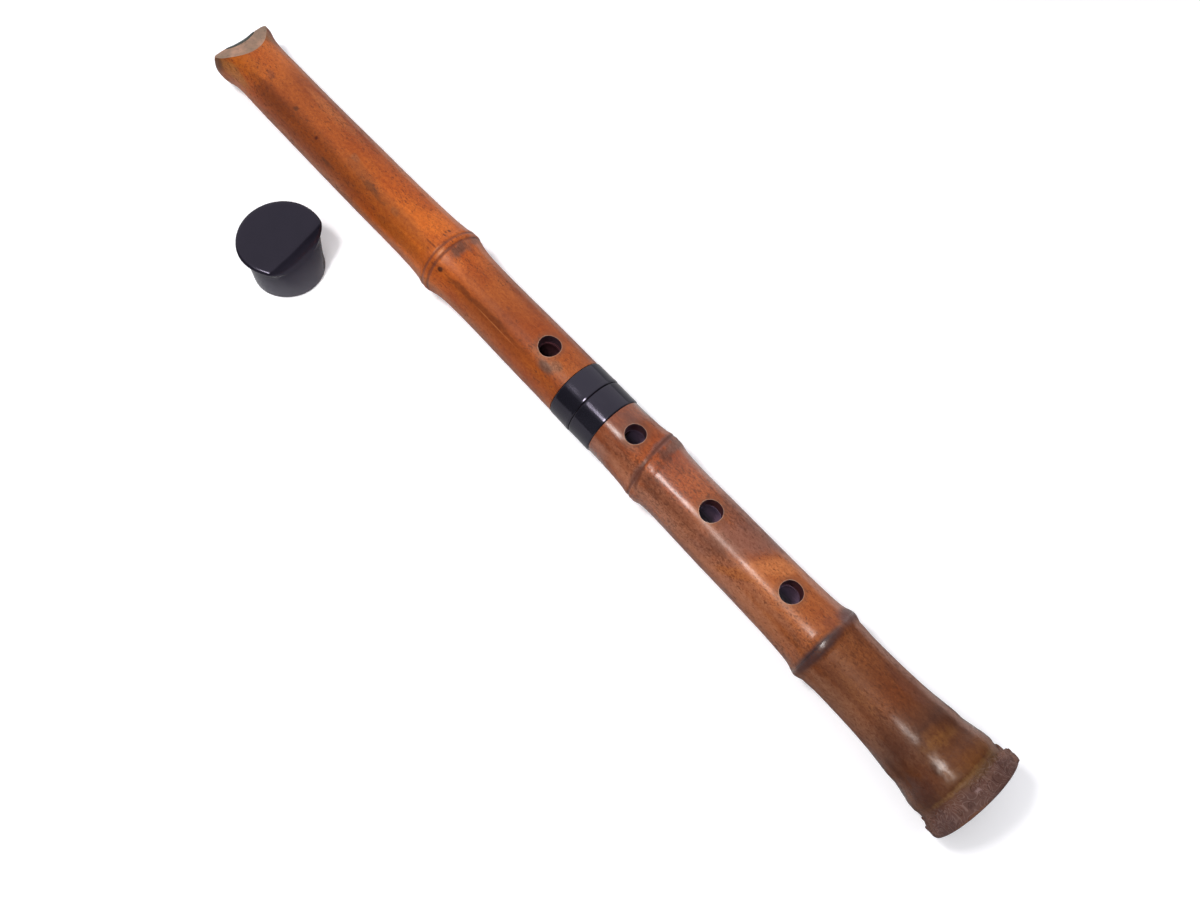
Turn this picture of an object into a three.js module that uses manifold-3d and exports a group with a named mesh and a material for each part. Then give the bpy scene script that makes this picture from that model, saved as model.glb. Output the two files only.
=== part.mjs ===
// A shakuhachi: an end-blown bamboo flute in two sections that push together at a middle joint.
// It lies on a table with its finger holes up, and the cap of its mouthpiece stands beside it.
// Millimetres. +X runs along the flute from the mouth to the root end, +Z is up, and the table
// is at Z = 0. A station is a distance along the flute's own axis from the mouth.
import * as THREE from 'three';
import { mergeVertices } from 'three/addons/utils/BufferGeometryUtils.js';
import Module from 'manifold-3d';

// Driving dimensions

const seatGap = 0.3; // between pieces that are glued or pushed together
const overrun = 2; // how far a cutting tool runs past what it cuts
const roundSides = 36; // sides of everything that is turned round
const holeSides = 24; // sides of a finger hole
const profileStep = 30; // longest step along a plain stretch of an outline

// Bamboo of the upper section. Places are measured from the mouth or from the joint.
const upperLength = 293.5;
const mouthRadius = 18.6;
const mouthRound = 2.4; // rounding of the outer edge of the mouth
const flareEndAt = 13;
const flareEndRadius = 16.9;
const neckAt = 24;
const neckRadius = 16.25;
const slimAt = 70;
const slimRadius = 16.35;
const fullAt = 156;
const fullRadius = 16.75;
const node1At = 182.4;
const node1Radius = 17;
const node1Ridge = 1.8;
const waist1At = 214;
const waist1Radius = 16.1;
const upperJointRadius = 16.55;

// Bamboo of the lower section, which is dug up with its root. Places are measured from the
// joint, and those of the foot from the root end.
const lowerLength = 251.2;
const lowerJointRadius = 16.4;
const node2At = 43.8;
const node2Radius = 16.75;
const node2Ridge = 1.5;
const waist2At = 66;
const waist2Radius = 16.6;
const full2At = 128;
const full2Radius = 17.15;
const node3At = 158.2;
const node3Radius = 18.05;
const node3Ridge = 1.8;
const waist3FromRoot = 76;
const waist3Radius = 18.2;
const footStartFromRoot = 54;
const footStartRadius = 18.75;
const firstSwellFromRoot = 32;
const firstSwellRadius = 20.7;
const secondSwellFromRoot = 15.5;
const secondSwellRadius = 23.2;
const dipFromRoot = 10;
const dipRadius = 22.6;
const rimFromRoot = 7.6; // where the thicker rim of the root end begins
const rimRadius = 25.2;
const rimRound = 1.6;

// A node is a low ridge with the scar of the leaf sheath as a groove along it. Points of the
// ridge are shares of the node's half length and of the ridge's height.
const nodeHalfLength = 6;
const evenRidge = [[-1, 0], [-0.45, 0.5], [-0.15, 0.95], [0.02, 0.72], [0.22, 1], [0.5, 0.42], [1, 0]];
const steppedRidge = [[-1, 0.15], [-0.4, 0.95], [0, 1], [0.35, 0.58], [1.1, 0.52], [1.5, 0]];

// Stubs of the cut roots, which stand round the rim of the root end.
const stubCount = 16;
const stubReach = 25.7; // from the flute's axis to the ground end of a stub
const stubRadius = 3.6;
const stubFromRoot = 4.7;
const smallStubReach = 23.8;
const smallStubRadius = 2.3;
const smallStubFromRoot = 11.6;
const stubSides = 8;
const stubRootShare = 0.8; // how far down in the wall a stub starts, of its reach
const stubSwayShare = 0.14; // how much stubs differ from each other in place and in thickness

// Bore, which the lacquered lining forms
const mouthBoreRadius = 10.2;
const boreStartRadius = 10;
const jointBoreRadius = 8.8;
const throatBoreRadius = 8;
const throatFromRoot = 110;
const bellBoreRadius = 9.2;
const liningWall = 1;
const liningStart = 26;

// Blowing edge: a bevel across the front of the mouth, with a scooped roof under it
const bevelAngle = THREE.MathUtils.degToRad(27);
const bevelRise = 6; // height of the bevel above the axis at the end of the mouth
const edgeHalfWidth = 8.1;
const edgeDepth = 1.8; // how far back the middle of the blowing edge lies
const scoopSides = 120;
const inlayHalfWidth = 9.8;
const inlayHeight = 3.2; // of the inlay's face behind the middle of the blowing edge
const inlayThickness = 2.6;
const inlaySides = 48;

// Finger holes, from the joint towards the mouth or towards the root
const holeRadius = 5.5;
const upperHoleFromJoint = 33.2;
const thumbHoleFromJoint = 66.5;
const lowerHolesFromJoint = [29, 80.4, 132.6];

// Middle joint: a tenon set in the lower section, and a black band round each side
const tenonRadius = 11.5;
const tenonInUpper = 22;
const tenonInLower = 20;
const tenonChamfer = 0.8;
const upperBandLength = 13.5;
const lowerBandLength = 14;
const upperBandRadius = 16.9;
const lowerBandRadius = 16.9;
const bandWall = 1.7;
const bandRound = 0.5;

// Cap of the mouthpiece, standing with its opening down. It is soft and is stretched over the
// flare of the mouth, so its lip is narrower than the mouth and its hollow widens at the top.
const capHeight = 27.2;
const capTopRadius = 22.6;
const capWaistRadius = 19.5;
const capWaistAt = 21; // height at which it begins to flare out to the top
const capFlareBend = 0.35; // share of the flare that is reached halfway up it
const capBaseRadius = 18.7;
const capLipLength = 7; // upright stretch above the rim
const capTopWall = 2.8;
const capWall = 2.1;
const capRound = 1; // rounding of the edge of the top
const capFacetAt = 11.8; // from the cap's axis to the facet, on the top
const capFacetLean = THREE.MathUtils.degToRad(21);
const capTurn = THREE.MathUtils.degToRad(12); // of the facet, from +X towards the flute
const capClearance = 0.3; // round the end of the mouth, in the widest part of the hollow
const capSides = 56;
const capAt = { x: 119.7, y: -60.5 }; // from the end of the mouth

// Everything below follows from the sizes above

const jointAt = upperLength;
const lowerStart = jointAt + seatGap;
const rootEnd = lowerStart + lowerLength;
const flatShare = Math.cos(Math.PI / roundSides); // a flat's distance from the axis, of the radius

const wasm = await Module();
wasm.setup();

// A closed solid, ready to be cut or joined, from a three.js geometry
function solidOf(geometry) {
  const bare = geometry.clone();
  bare.deleteAttribute('normal');
  bare.deleteAttribute('uv');
  const merged = mergeVertices(bare);
  const index = merged.index.array;
  const triangles = [];
  for (let i = 0; i < index.length; i += 3) {
    const [a, b, c] = index.slice(i, i + 3);
    if (a !== b && b !== c && c !== a) triangles.push(a, b, c);
  }
  return new wasm.Manifold(new wasm.Mesh({
    numProp: 3,
    vertProperties: merged.attributes.position.array,
    triVerts: new Uint32Array(triangles),
  }));
}

function geometryOf(solid) {
  const { vertProperties, triVerts } = solid.getMesh();
  const geometry = new THREE.BufferGeometry();
  geometry.setAttribute('position', new THREE.BufferAttribute(vertProperties, 3));
  geometry.setIndex(new THREE.BufferAttribute(triVerts, 1));
  geometry.computeVertexNormals();
  return geometry;
}

// A body turned round the flute's axis, from an outline of [station, radius] points that starts
// on the outside and closes on itself. One of its flats faces straight down.
function turned(outline, sides = roundSides) {
  const points = [...outline, outline[0]].map(([station, radius]) => new THREE.Vector2(radius, station));
  return new THREE.LatheGeometry(points, sides, Math.PI / sides).rotateZ(-Math.PI / 2);
}

// A round bar along the flute's axis
function bar(radius, from, to, sides = roundSides) {
  return new THREE.CylinderGeometry(radius, radius, to - from, sides)
    .rotateY(Math.PI / sides)
    .rotateZ(-Math.PI / 2)
    .translate((from + to) / 2, 0, 0);
}

// A quarter circle between two directions, given as [station, radius] offsets from a centre
function roundedEdge(centreStation, centreRadius, round, fromAngle, toAngle, steps = 3) {
  const points = [];
  for (let i = 0; i <= steps; i += 1) {
    const angle = THREE.MathUtils.lerp(fromAngle, toAngle, i / steps);
    points.push([centreStation + round * Math.cos(angle), centreRadius + round * Math.sin(angle)]);
  }
  return points;
}

function nodeOf(at, ridge, shares) {
  const reach = nodeHalfLength * Math.max(...shares.map(([lengthShare]) => Math.abs(lengthShare)));
  return { at, ridge, shares, reach };
}

// Outside of a culm: a smooth line through its measured places, with a ridge at each node
function culmOutline(places, nodes, from, to) {
  const stations = places.map(([station]) => station);
  const radii = places.map(([, radius]) => radius);
  const line = new THREE.CubicInterpolant(stations, radii, 1);
  const points = [];
  for (const node of nodes) {
    for (const [lengthShare, heightShare] of node.shares) {
      const station = node.at + lengthShare * nodeHalfLength;
      points.push([station, line.evaluate(station)[0] + heightShare * node.ridge]);
    }
  }
  const fixed = [from, ...stations.filter((station) => station > from && station < to), to];
  for (let i = 0; i < fixed.length - 1; i += 1) {
    const steps = Math.ceil((fixed[i + 1] - fixed[i]) / profileStep);
    for (let k = 0; k < steps; k += 1) {
      const station = THREE.MathUtils.lerp(fixed[i], fixed[i + 1], k / steps);
      const onNode = nodes.some((node) => Math.abs(station - node.at) <= node.reach);
      if (!onNode) points.push([station, line.evaluate(station)[0]]);
    }
  }
  points.push([to, line.evaluate(to)[0]]);
  return points.sort((a, b) => a[0] - b[0]);
}

// A drill for a hole through the wall, from the axis outwards
function holeDrill(station, side) {
  const length = mouthRadius + node1Ridge + overrun;
  return solidOf(new THREE.CylinderGeometry(holeRadius, holeRadius, length, holeSides)
    .rotateX(Math.PI / 2)
    .translate(station, 0, (side * length) / 2));
}

// Bore of the flute at a station of the lining
const liningLine = [
  [liningStart + seatGap, boreStartRadius],
  [jointAt, jointBoreRadius],
  [rootEnd - throatFromRoot, throatBoreRadius],
  [rootEnd, bellBoreRadius],
];

function boreRadiusAt(station) {
  const next = Math.max(1, liningLine.findIndex(([at]) => at >= station));
  const [fromAt, fromRadius] = liningLine[next - 1];
  const [toAt, toRadius] = liningLine[next];
  return THREE.MathUtils.mapLinear(station, fromAt, toAt, fromRadius, toRadius);
}

const upperSocketAt = jointAt - tenonInUpper - seatGap;
const lowerSocketAt = lowerStart + tenonInLower + seatGap;
const liningSeat = liningWall + seatGap;

// Shapes that form the mouth

const bevelSlope = Math.tan(bevelAngle);
const edgeHeight = bevelRise + edgeDepth * bevelSlope;
const scoopSlope = (mouthBoreRadius - edgeHeight) / (liningStart - edgeDepth);

// Everything in front of the bevel
function bevelCutter() {
  const top = mouthRadius + overrun;
  const side = new THREE.Shape([
    new THREE.Vector2(-overrun, bevelRise - overrun * bevelSlope),
    new THREE.Vector2((top - bevelRise) / bevelSlope, top),
    new THREE.Vector2(-overrun, top),
  ]);
  return solidOf(new THREE.ExtrudeGeometry(side, { depth: 2 * top, bevelEnabled: false })
    .rotateX(Math.PI / 2)
    .translate(0, top, 0));
}

// Air space behind the blowing edge: round, with a scooped roof that rises from the edge and
// runs out into the bore where the lining begins
function mouthHollow() {
  const sag = edgeDepth * (bevelSlope - scoopSlope);
  const scoopRadius = (edgeHalfWidth ** 2 + sag ** 2) / (2 * sag);
  const length = 2 * (liningStart + overrun);
  const scoop = solidOf(bar(scoopRadius, -length / 2, length / 2, scoopSides)
    .translate(0, 0, -scoopRadius * Math.cos(Math.PI / scoopSides))
    .rotateY(-Math.atan(scoopSlope))
    .translate(edgeDepth, 0, edgeHeight));
  return solidOf(bar(mouthBoreRadius, -overrun, liningStart + overrun)).intersect(scoop);
}

// Plug under the bevel with the inlay's rounded outline, grown on every side by a clearance
function inlayPlug(clearance) {
  const rise = edgeDepth / Math.cos(bevelAngle) + inlayHeight;
  const radius = (inlayHalfWidth ** 2 + rise ** 2) / (2 * rise);
  const plugRadius = radius + clearance;
  const thickness = inlayThickness + clearance;
  return solidOf(new THREE.CylinderGeometry(plugRadius, plugRadius, thickness + overrun, inlaySides)
    .rotateX(Math.PI / 2)
    .translate(rise - radius, 0, (overrun - thickness) / 2)
    .rotateY(-bevelAngle)
    .translate(0, 0, bevelRise));
}

// Outline of a culm's end that is let in under its band
function bandSeat(radius, shoulder, end) {
  const seatRadius = radius - bandWall - seatGap;
  return [[shoulder, seatRadius], [end, seatRadius]];
}

// Upper section

const upperBandStart = jointAt - upperBandLength;

const upperOutside = culmOutline([
  [mouthRound, mouthRadius],
  [flareEndAt, flareEndRadius],
  [neckAt, neckRadius],
  [slimAt, slimRadius],
  [fullAt, fullRadius],
  [node1At, node1Radius],
  [waist1At, waist1Radius],
  [jointAt, upperJointRadius],
], [nodeOf(node1At, node1Ridge, evenRidge)], mouthRound, upperBandStart - seatGap);

function upperBlank(inside) {
  const mouthEdge = roundedEdge(mouthRound, mouthRadius - mouthRound, mouthRound, Math.PI, Math.PI / 2);
  const seat = bandSeat(upperBandRadius, upperBandStart - seatGap, jointAt);
  return solidOf(turned([...mouthEdge.slice(0, -1), ...upperOutside, ...seat, ...inside]));
}

function upperCulm() {
  const hollow = [
    [jointAt, tenonRadius + seatGap],
    [upperSocketAt, tenonRadius + seatGap],
    [upperSocketAt, boreRadiusAt(upperSocketAt) + liningSeat],
    [liningStart, boreStartRadius + liningSeat],
    [liningStart, mouthBoreRadius / 2],
    [0, mouthBoreRadius / 2],
  ];
  return geometryOf(upperBlank(hollow)
    .subtract(mouthHollow())
    .subtract(bevelCutter())
    .subtract(inlayPlug(seatGap))
    .subtract(holeDrill(jointAt - upperHoleFromJoint, 1))
    .subtract(holeDrill(jointAt - thumbHoleFromJoint, -1)));
}

function blowingEdgeInlay() {
  const mouthEnd = [[jointAt, mouthBoreRadius / 2], [0, mouthBoreRadius / 2]];
  return geometryOf(upperBlank(mouthEnd)
    .intersect(inlayPlug(0))
    .subtract(mouthHollow())
    .subtract(bevelCutter()));
}

// Lacquered lining from one station to the next, with the flute's bore inside it
function liningTube(from, to) {
  const turns = liningLine.map(([station]) => station).filter((station) => station > from && station < to);
  const stations = [from, ...turns, to];
  const outside = stations.map((station) => [station, boreRadiusAt(station) + liningWall]);
  const inside = stations.toReversed().map((station) => [station, boreRadiusAt(station)]);
  return solidOf(turned([...outside, ...inside]));
}

function upperLining() {
  return geometryOf(liningTube(liningStart + seatGap, upperSocketAt)
    .subtract(holeDrill(jointAt - upperHoleFromJoint, 1))
    .subtract(holeDrill(jointAt - thumbHoleFromJoint, -1)));
}

// Ring round the culm beside the joint, with its edges eased
function jointBand(radius, from, to) {
  const rim = radius - bandRound;
  return turned([
    ...roundedEdge(from + bandRound, rim, bandRound, Math.PI, Math.PI / 2, 2),
    ...roundedEdge(to - bandRound, rim, bandRound, Math.PI / 2, 0, 2),
    [to, radius - bandWall],
    [from, radius - bandWall],
  ]);
}

// Middle joint

function jointTenon() {
  const start = jointAt - tenonInUpper;
  const end = lowerStart + tenonInLower;
  return turned([
    [start, tenonRadius - tenonChamfer],
    [start + tenonChamfer, tenonRadius],
    [end, tenonRadius],
    [end, boreRadiusAt(end)],
    [start, boreRadiusAt(start)],
  ]);
}

// Lower section

const lowerBandEnd = lowerStart + lowerBandLength;

function lowerOutside() {
  return culmOutline([
    [lowerStart, lowerJointRadius],
    [lowerStart + node2At, node2Radius],
    [lowerStart + waist2At, waist2Radius],
    [lowerStart + full2At, full2Radius],
    [lowerStart + node3At, node3Radius],
    [rootEnd - waist3FromRoot, waist3Radius],
    [rootEnd - footStartFromRoot, footStartRadius],
    [rootEnd - firstSwellFromRoot, firstSwellRadius],
    [rootEnd - secondSwellFromRoot, secondSwellRadius],
    [rootEnd - dipFromRoot, dipRadius],
  ], [
    nodeOf(lowerStart + node2At, node2Ridge, evenRidge),
    nodeOf(lowerStart + node3At, node3Ridge, steppedRidge),
  ], lowerBandEnd + seatGap, rootEnd - dipFromRoot);
}

// One stub of a root, ground off square at its reach. Stub 0 points straight down.
function rootStub(turnShare, reach, radius, station) {
  const inner = reach * stubRootShare;
  return solidOf(new THREE.CylinderGeometry(radius, radius, reach - inner, stubSides)
    .rotateX(Math.PI / 2)
    .translate(station, 0, -(reach + inner) / 2)
    .rotateX(2 * Math.PI * turnShare));
}

function rootStubs() {
  const stubs = [];
  for (let i = 0; i < stubCount; i += 1) {
    const sway = stubSwayShare * Math.sin(i * i);
    const turn = (i + sway) / stubCount;
    const radius = stubRadius * (1 - Math.abs(sway));
    stubs.push(rootStub(turn, stubReach, radius, rootEnd - stubFromRoot));
    const smallTurn = (i + 0.5 - sway) / stubCount;
    const smallRadius = smallStubRadius * (1 + sway);
    stubs.push(rootStub(smallTurn, smallStubReach, smallRadius, rootEnd - smallStubFromRoot));
  }
  return stubs;
}

function lowerCulm() {
  const blank = solidOf(turned([
    ...bandSeat(lowerBandRadius, lowerStart, lowerBandEnd + seatGap),
    ...lowerOutside(),
    [rootEnd - rimFromRoot, rimRadius],
    ...roundedEdge(rootEnd - rimRound, rimRadius - rimRound, rimRound, Math.PI / 2, 0),
    [rootEnd, bellBoreRadius + liningSeat],
    [rootEnd - throatFromRoot, throatBoreRadius + liningSeat],
    [lowerSocketAt, boreRadiusAt(lowerSocketAt) + liningSeat],
    [lowerSocketAt, tenonRadius + seatGap],
    [lowerStart, tenonRadius + seatGap],
  ]));
  const rooted = rootStubs().reduce((body, stub) => body.add(stub), blank);
  const drilled = lowerHolesFromJoint.reduce(
    (body, fromJoint) => body.subtract(holeDrill(jointAt + fromJoint, 1)), rooted);
  return geometryOf(drilled);
}

function lowerLining() {
  const tube = liningTube(lowerSocketAt, rootEnd);
  return geometryOf(lowerHolesFromJoint.reduce(
    (body, fromJoint) => body.subtract(holeDrill(jointAt + fromJoint, 1)), tube));
}

// Cap of the mouthpiece, with its axis on Z and its rim on the table

// A body turned round Z, from an outline of [radius, height] points that starts on the axis
function cupOf(outline) {
  const points = outline.map(([radius, height]) => new THREE.Vector2(radius, height));
  return new THREE.LatheGeometry(points, capSides).rotateX(Math.PI / 2);
}

// What lies outside a leaning plane that meets the top at a distance from the axis
function facetCutter(distance) {
  const reach = capTopRadius + overrun;
  const lean = Math.tan(capFacetLean);
  const side = new THREE.Shape([
    new THREE.Vector2(distance - overrun * lean, capHeight + overrun),
    new THREE.Vector2(distance + capHeight * lean, 0),
    new THREE.Vector2(distance + capHeight * lean + reach, 0),
    new THREE.Vector2(distance + capHeight * lean + reach, capHeight + overrun),
  ]);
  return solidOf(new THREE.ExtrudeGeometry(side, { depth: 2 * reach, bevelEnabled: false })
    .rotateX(Math.PI / 2)
    .translate(0, reach, 0));
}

function mouthpieceCap() {
  const shoulder = capHeight - capRound;
  const flareMiddle = [
    THREE.MathUtils.lerp(capWaistRadius, capTopRadius, capFlareBend),
    (capWaistAt + shoulder) / 2,
  ];
  const outside = solidOf(cupOf([
    [0, 0],
    [capBaseRadius, 0],
    [capBaseRadius, capLipLength],
    [capWaistRadius, capWaistAt],
    flareMiddle,
    ...roundedEdge(capTopRadius - capRound, shoulder, capRound, 0, Math.PI / 2),
    [0, capHeight],
  ]));
  const ceiling = capHeight - capTopWall;
  const hollow = solidOf(cupOf([
    [0, -overrun],
    [capBaseRadius - capWall, -overrun],
    [capBaseRadius - capWall, capLipLength],
    [capWaistRadius - capWall, capWaistAt],
    [mouthRadius + capClearance, ceiling],
    [0, ceiling],
  ])).subtract(facetCutter(capFacetAt - capWall / Math.cos(capFacetLean)));
  return geometryOf(outside.subtract(facetCutter(capFacetAt)).subtract(hollow));
}

// Materials

function finish(color, roughness, metalness = 0) {
  return new THREE.MeshStandardMaterial({ color, roughness, metalness });
}

function piece(name, geometry, material) {
  const mesh = new THREE.Mesh(geometry, material);
  mesh.name = name;
  return mesh;
}

// Assembly. The flute rests on the flare of its mouth and on the stubs of its root end, so its
// axis rises a little towards the root.

const flute = new THREE.Group();
flute.add(
  piece('upper_culm', upperCulm(), finish(0xb5652f, 0.42)),
  piece('blowing_edge_inlay', blowingEdgeInlay(), finish(0x1d1a17, 0.3)),
  piece('upper_bore_lining', upperLining(), finish(0x5a1712, 0.25)),
  piece('upper_joint_band', jointBand(upperBandRadius, upperBandStart, jointAt), finish(0x121216, 0.18)),
  piece('joint_tenon', jointTenon(), finish(0x2a1410, 0.35)),
  piece('lower_culm', lowerCulm(), finish(0xa04f27, 0.45)),
  piece('lower_bore_lining', lowerLining(), finish(0x5a1712, 0.25)),
  piece('lower_joint_band', jointBand(lowerBandRadius, lowerStart, lowerBandEnd), finish(0x121216, 0.18)),
);
const restRise = stubReach - mouthRadius * flatShare;
const restLength = rootEnd - stubFromRoot - stubRadius - mouthRound;
flute.rotation.y = -Math.atan(restRise / restLength);

const cap = piece('mouthpiece_cap', mouthpieceCap(), finish(0x16161a, 0.2));

// The flute is set down on the table, the cap is stood beside its upper section, and the middle
// of their footprint becomes the origin.
const shakuhachi = new THREE.Group();
shakuhachi.add(flute, cap);
flute.updateMatrixWorld(true);
flute.position.z = -new THREE.Box3().setFromObject(flute, true).min.z;
cap.rotation.z = capTurn;
cap.position.set(capAt.x, capAt.y, 0);
shakuhachi.updateMatrixWorld(true);
const footprint = new THREE.Box3().setFromObject(shakuhachi, true).getCenter(new THREE.Vector3());
shakuhachi.position.set(-footprint.x, -footprint.y, 0);

export default shakuhachi;
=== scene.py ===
import math

import bmesh
import bpy
from mathutils import Matrix, Vector


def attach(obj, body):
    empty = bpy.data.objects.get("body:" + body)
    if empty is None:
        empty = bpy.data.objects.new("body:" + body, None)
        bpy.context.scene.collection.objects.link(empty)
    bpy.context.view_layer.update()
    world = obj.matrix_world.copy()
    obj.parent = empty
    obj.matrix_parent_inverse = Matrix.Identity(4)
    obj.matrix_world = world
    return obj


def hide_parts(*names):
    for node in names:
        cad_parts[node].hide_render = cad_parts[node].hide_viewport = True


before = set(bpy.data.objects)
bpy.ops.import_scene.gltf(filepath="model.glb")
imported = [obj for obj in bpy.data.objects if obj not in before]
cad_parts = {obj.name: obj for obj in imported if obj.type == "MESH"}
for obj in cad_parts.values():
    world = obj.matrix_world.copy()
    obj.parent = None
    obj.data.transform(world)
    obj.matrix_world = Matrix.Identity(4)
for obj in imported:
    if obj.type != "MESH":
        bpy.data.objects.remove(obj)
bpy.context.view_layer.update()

# Bamboo of the upper section: a thick-walled stem, fire-straightened, rubbed smooth and browned
# by handling. One node crosses it. The mouth end is cut at a flare, bevelled across its front,
# and hollowed behind the blowing edge. It is worked here in millimetres along the flute's axis.

mouth_end = Vector((-272.593, 28.673, 18.495))
flute_rise = math.radians(0.76891)
flute_place = (Matrix.Scale(0.001, 4) @ Matrix.Translation(mouth_end)
               @ Matrix.Rotation(-flute_rise, 4, "Y"))
stem_sides = 160
plain_step, fine_step = 2.4, 0.5
crease_angle = 32
upper_end = 293.5
upper_band_from = 279.7
upper_outside = [  # stations from the mouth, and radii
    (0, 16.1), (0.35, 17.1), (1.0, 18.0), (2.2, 18.55), (4.5, 18.6), (7, 18.25), (9.5, 17.55),
    (12.5, 16.95), (16, 16.5), (20, 16.3), (26, 16.25), (32, 16.35), (45, 16.38), (60, 16.33),
    (76, 16.37), (92, 16.5), (120, 16.62), (140, 16.62), (156, 16.78), (165, 17.0), (171, 17.3),
    (175, 17.62), (178, 17.98), (180, 18.45), (181.6, 18.85), (183, 18.95), (184.8, 18.9),
    (186.4, 18.5), (188.5, 17.85), (190.5, 17.35), (193.5, 16.9), (197, 16.52), (201, 16.32),
    (207, 16.2), (214, 16.12), (224, 16.18), (240, 16.38), (256, 16.45), (270, 16.48),
    (279.7, 16.52),
]
upper_grooves = [(182.7, 0.38, 0.7), (186.3, 0.42, 0.75)]  # station, depth and width
upper_slants = [(9, -2.2, 6)]  # station, how far the shape leans over there, and width
upper_rough = [(0, 0.28), (14, 0.1), (30, 0.05), (279, 0.05)]
stem_bow = [(0, -0.5), (60, -0.95), (120, -0.75), (182, -0.05), (300, 0), (335, 0.15), (400, -0.3),
            (460, -0.45), (545, -0.3)]
band_seat_radius = 14.9
socket_radius = 11.8
lining_seat_radius = 10.2
mouth_bore = 10.2
pilot_bore = 5.1  # what the hollow of the mouth widens
mouth_hollow_end = 26
upper_inside = [
    (0, pilot_bore), (mouth_hollow_end, pilot_bore), (mouth_hollow_end, 11.3),
    (271.2, lining_seat_radius), (271.2, socket_radius), (upper_end, socket_radius)]
bevel_angle = math.radians(27)
bevel_rise = 6.0
edge_depth = 1.8
edge_half_width = 8.1
inlay_length = 3.2
inlay_half_width = 9.8
inlay_gap = 0.3
inlay_seat_depth = 2.45  # to either side of its middle
inlay_seat_middle = -0.45  # from the bevel's face
drill_length = 40.0
cut_past = 2  # how far a tool reaches past what it cuts
cut_number, wall_number = 1, 2  # finishes of cut faces and of hole walls, after 0 for the skin
hole_4 = (upper_end - 33.2, 1, 5.85, 0.5)  # station, side, radius, offset across
thumb_hole = (upper_end - 66.5, -1, 5.5, 0.0)


def smooth_line(places, at):
    """Value of a smooth line through the places, that never swings past them."""
    xs, ys = zip(*places)
    if at <= xs[0]:
        return ys[0]
    if at >= xs[-1]:
        return ys[-1]
    slopes = [(ys[i + 1] - ys[i]) / (xs[i + 1] - xs[i]) for i in range(len(xs) - 1)]
    i = max(k for k in range(len(slopes)) if xs[k] <= at)

    def lean(k):
        if k == 0 or k == len(xs) - 1:
            return slopes[min(k, len(slopes) - 1)]
        before, after = slopes[k - 1], slopes[k]
        return 0.0 if before * after <= 0 else 2 * before * after / (before + after)

    step = xs[i + 1] - xs[i]
    t = (at - xs[i]) / step
    return ((2 * t ** 3 - 3 * t ** 2 + 1) * ys[i] + (t ** 3 - 2 * t ** 2 + t) * step * lean(i)
            + (3 * t ** 2 - 2 * t ** 3) * ys[i + 1] + (t ** 3 - t ** 2) * step * lean(i + 1))


def bell(at, middle, width):
    return math.exp(-((at - middle) / width) ** 2)


def stem_outline(places, grooves, coarse, fine, fine_zones):
    """Outside of a stem as [station, radius], with small steps where its shape turns quickly."""
    station, end = places[0][0], places[-1][0]
    points = []
    while station < end - fine / 2:
        cut = sum(depth * bell(station, middle, width) for middle, depth, width in grooves)
        points.append((station, smooth_line(places, station) - cut))
        close = any(low <= station < high for low, high in fine_zones)
        station += fine if close else coarse
    return [*points, (end, smooth_line(places, end))]


def fill(node, feeds):
    """Gives each named input of a node its value, or links it to a socket."""
    for name, value in feeds.items():
        if isinstance(value, bpy.types.NodeSocket):
            node.id_data.links.new(value, node.inputs[name])
        else:
            node.inputs[name].default_value = value
    return node


def put(tree, kind, feeds=None, **settings):
    """Adds a node to a tree, sets it up and fills its inputs."""
    made = tree.nodes.new(kind)
    for name, value in settings.items():
        setattr(made, name, value)
    return fill(made, feeds or {})


def tree_of(values):
    """The node tree of the first socket among some values."""
    return next(value.id_data for value in values if isinstance(value, bpy.types.NodeSocket))


def maths(operation, *values):
    return put(tree_of(values), "ShaderNodeMath", dict(enumerate(values)),
               operation=operation).outputs[0]


def plus(first, second):
    return maths("ADD", first, second)


def minus(first, second):
    return maths("SUBTRACT", first, second)


def times(first, second):
    return maths("MULTIPLY", first, second)


def times_plus(first, second, third):
    return maths("MULTIPLY_ADD", first, second, third)


def far(first, second):
    """Length of a step that goes first one way and then across it."""
    return maths("SQRT", plus(times(first, first), times(second, second)))


def point(x, y, z):
    return put(tree_of((x, y, z)), "ShaderNodeCombineXYZ", {"X": x, "Y": y, "Z": z}).outputs[0]


def parts(place):
    return put(place.id_data, "ShaderNodeSeparateXYZ", {0: place}).outputs


def noise_at(place, scale, detail, more=None, **settings):
    """Cloudy noise from 0 to 1."""
    return put(place.id_data, "ShaderNodeTexNoise", {
        "Vector": place, "Scale": scale, "Detail": detail, **(more or {})}, **settings).outputs[0]


def new_tree(name, kind, inputs, outputs):
    """An empty node tree, its input sockets and its output node.

    An input is named with its first value, or with its kind of socket where it has none.
    """
    tree = bpy.data.node_groups.new(name, kind)
    kinds = {int: "Int", float: "Float"}
    for label, value in inputs.items():
        socket = "NodeSocket" + kinds.get(type(value), str(value))
        made = tree.interface.new_socket(name=label, in_out="INPUT", socket_type=socket)
        if type(value) in kinds:
            made.default_value = value
    for label, socket in outputs.items():
        tree.interface.new_socket(name=label, in_out="OUTPUT", socket_type="NodeSocket" + socket)
    return tree, put(tree, "NodeGroupInput").outputs, put(tree, "NodeGroupOutput")


def finished(geometry, finish):
    """The end of a geometry tree: real faces, all in one finish."""
    tree = geometry.id_data
    real = put(tree, "GeometryNodeRealizeInstances", {"Geometry": geometry}).outputs[0]
    return {0: put(tree, "GeometryNodeSetMaterial", {
        "Geometry": real, "Material": finish}).outputs[0]}


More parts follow.
